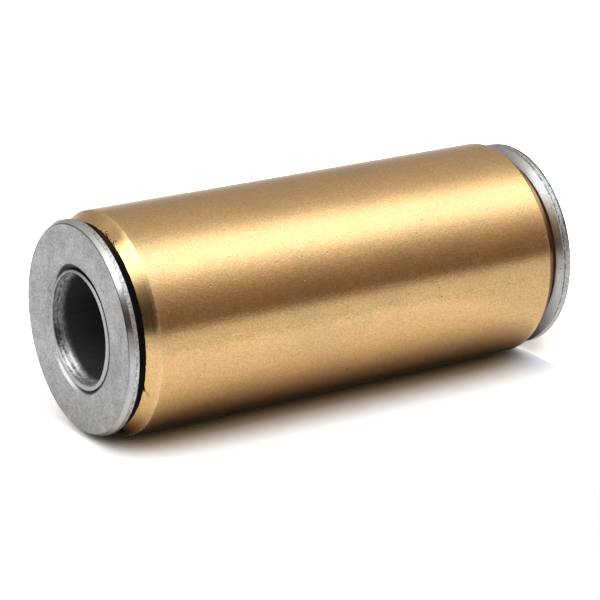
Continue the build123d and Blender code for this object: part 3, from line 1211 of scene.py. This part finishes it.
def stage_finish(name, colour, lift, reach):
    """Pale matt sheet that is clear from behind and shows a deep soft shadow where the part
    stands close over it. Seen by the camera it is lift times as bright, which takes it to plain
    white where it is more open than reach; in the part's own finish the shade goes further."""
    material = bpy.data.materials.new(name)
    nodes = Nodes(material)
    nodes.tree.nodes.remove(nodes.tree.nodes["Principled BSDF"])
    openness = nodes.add("ShaderNodeAmbientOcclusion").outputs["AO"]
    cooled = (0.98 * lift * colour[0], lift * colour[1], 1.02 * lift * colour[2])
    seen_shade = nodes.product(nodes.ramp(nodes.remap(openness, 0.0, reach), SEEN_SHADE), cooled)
    mirrored_shade = nodes.scaled(nodes.ramp(openness, TABLE_SHADE), colour[1])
    is_seen = nodes.add("ShaderNodeLightPath").outputs["Is Camera Ray"]
    matt = nodes.add("ShaderNodeBsdfDiffuse", {"Color": nodes.blend(is_seen, mirrored_shade, seen_shade)})
    clear = nodes.add("ShaderNodeBsdfTransparent")
    behind = nodes.add("ShaderNodeNewGeometry").outputs["Backfacing"]
    surface = nodes.mixed(behind, matt.outputs[0], clear.outputs[0])
    nodes.put(nodes.tree.nodes["Material Output"].inputs["Surface"], surface)
    return material


def stage_sheet(name, centre, across, along, material, mirrored):
    """A flat sheet from its centre and two half-side vectors, facing across x along. It casts no
    shadow, and the part's finish shows it only where mirrored is true."""
    centre, across, along = (np.array(v, float) for v in (centre, across, along))
    signs = ((-1, -1), (1, -1), (1, 1), (-1, 1))
    mesh = bpy.data.meshes.new(name)
    mesh.from_pydata([tuple(centre + a * across + b * along) for a, b in signs], [], [(0, 1, 2, 3)])
    mesh.materials.append(material)
    sheet = placed(name, mesh)
    sheet.visible_diffuse = mirrored
    sheet.visible_glossy = mirrored
    sheet.visible_transmission = False
    sheet.visible_shadow = False


def studio_camera(settings):
    """The camera, from its azimuth, elevation and roll about the line of sight, and its aim."""
    azimuth, elevation, roll = settings.azimuth, settings.elevation, settings.roll
    level_share = math.cos(elevation)
    back = Vector(
        (math.sin(azimuth) * level_share, -math.cos(azimuth) * level_share, math.sin(elevation))
    )
    level = Vector((math.cos(azimuth), math.sin(azimuth), 0.0))
    level_up = back.cross(level)
    right = level * math.cos(roll) + level_up * math.sin(roll)
    up = level_up * math.cos(roll) - level * math.sin(roll)
    middle = Vector((0.0, 0.0, (BOTTOM_LOW.z + TOP_HIGH.z) / 2))
    aim = middle + right * settings.aim_right + up * settings.aim_up
    place = aim + back * settings.distance
    data = bpy.data.cameras.new("camera")
    data.sensor_width = 36.0
    data.lens = settings.lens
    data.clip_start = 0.01
    data.clip_end = 20.0
    camera = placed("camera", data)
    axes = Matrix((right, up, back)).transposed().to_4x4()
    camera.matrix_world = Matrix.Translation(place) @ axes
    bpy.context.scene.camera = camera


class BUSH_OT_stage(bpy.types.Operator):
    """Adds the floor, the backdrop beside the part, the studio light and the camera"""

    bl_idname = "bush.stage"
    bl_label = "Studio stage"

    def execute(self, context):
        scene = context.scene
        settings = scene.bush_stage
        colour = tuple(scene.bush_colours.stage)
        reach = 3.0
        clearance = 0.05 * MM
        backdrop_x = -SLEEVE_HIGH.x - clearance
        stage_sheet(
            "floor",
            (backdrop_x + reach, 0.0, 0.0),
            (reach, 0.0, 0.0),
            (0.0, reach, 0.0),
            stage_finish("floor_sheet", colour, lift=4.0, reach=0.25),
            mirrored=False,
        )
        # The backdrop reaches far back, and only a little way towards the camera.
        nearest = 0.085
        stage_sheet(
            "backdrop",
            (backdrop_x, (reach - nearest) / 2, reach),
            (0.0, (reach + nearest) / 2, 0.0),
            (0.0, 0.0, reach),
            stage_finish("backdrop_sheet", colour, lift=1.38, reach=0.36),
            mirrored=True,
        )
        studio_world(settings)
        studio_camera(settings)
        scene.view_settings.view_transform = "Standard"
        return {"FINISHED"}


# ---- Add-on registration -----------------------------------------------------------------------


class BUSH_PT_panel(bpy.types.Panel):
    """Lists the bush's pieces, sizes and colours"""

    bl_idname = "BUSH_PT_panel"
    bl_label = "Leaf spring bushing"
    bl_space_type = "VIEW_3D"
    bl_region_type = "UI"
    bl_category = "Bushing"

    def draw(self, context):
        layout = self.layout
        for group in (context.scene.bush_sizes, context.scene.bush_colours, context.scene.bush_stage):
            box = layout.box()
            for name in group.bl_rna.properties.keys():
                if name not in {"rna_type", "name"}:
                    box.prop(group, name)
        for step in BUILD_STEPS:
            layout.operator(step.bl_idname)


BUILD_STEPS = (BUSH_OT_sleeve, BUSH_OT_rubber, BUSH_OT_tube, BUSH_OT_washers, BUSH_OT_stage)
GROUPS = {"bush_sizes": BushSizes, "bush_colours": BushColours, "bush_stage": StageSettings}


def register():
    """Registers the classes and hangs the property groups on the scene."""
    for kind in (*GROUPS.values(), *BUILD_STEPS, BUSH_PT_panel):
        bpy.utils.register_class(kind)
    for name, kind in GROUPS.items():
        setattr(bpy.types.Scene, name, bpy.props.PointerProperty(type=kind))


def unregister():
    """Undoes register."""
    for name in GROUPS:
        delattr(bpy.types.Scene, name)
    for kind in (BUSH_PT_panel, *reversed(BUILD_STEPS), *GROUPS.values()):
        bpy.utils.unregister_class(kind)


def main():
    """Builds every piece and the stage."""
    register()
    bpy.ops.bush.sleeve()
    bpy.ops.bush.rubber()
    bpy.ops.bush.tube()
    bpy.ops.bush.washers()
    bpy.ops.bush.stage()


if __name__ == "__main__":
    main()
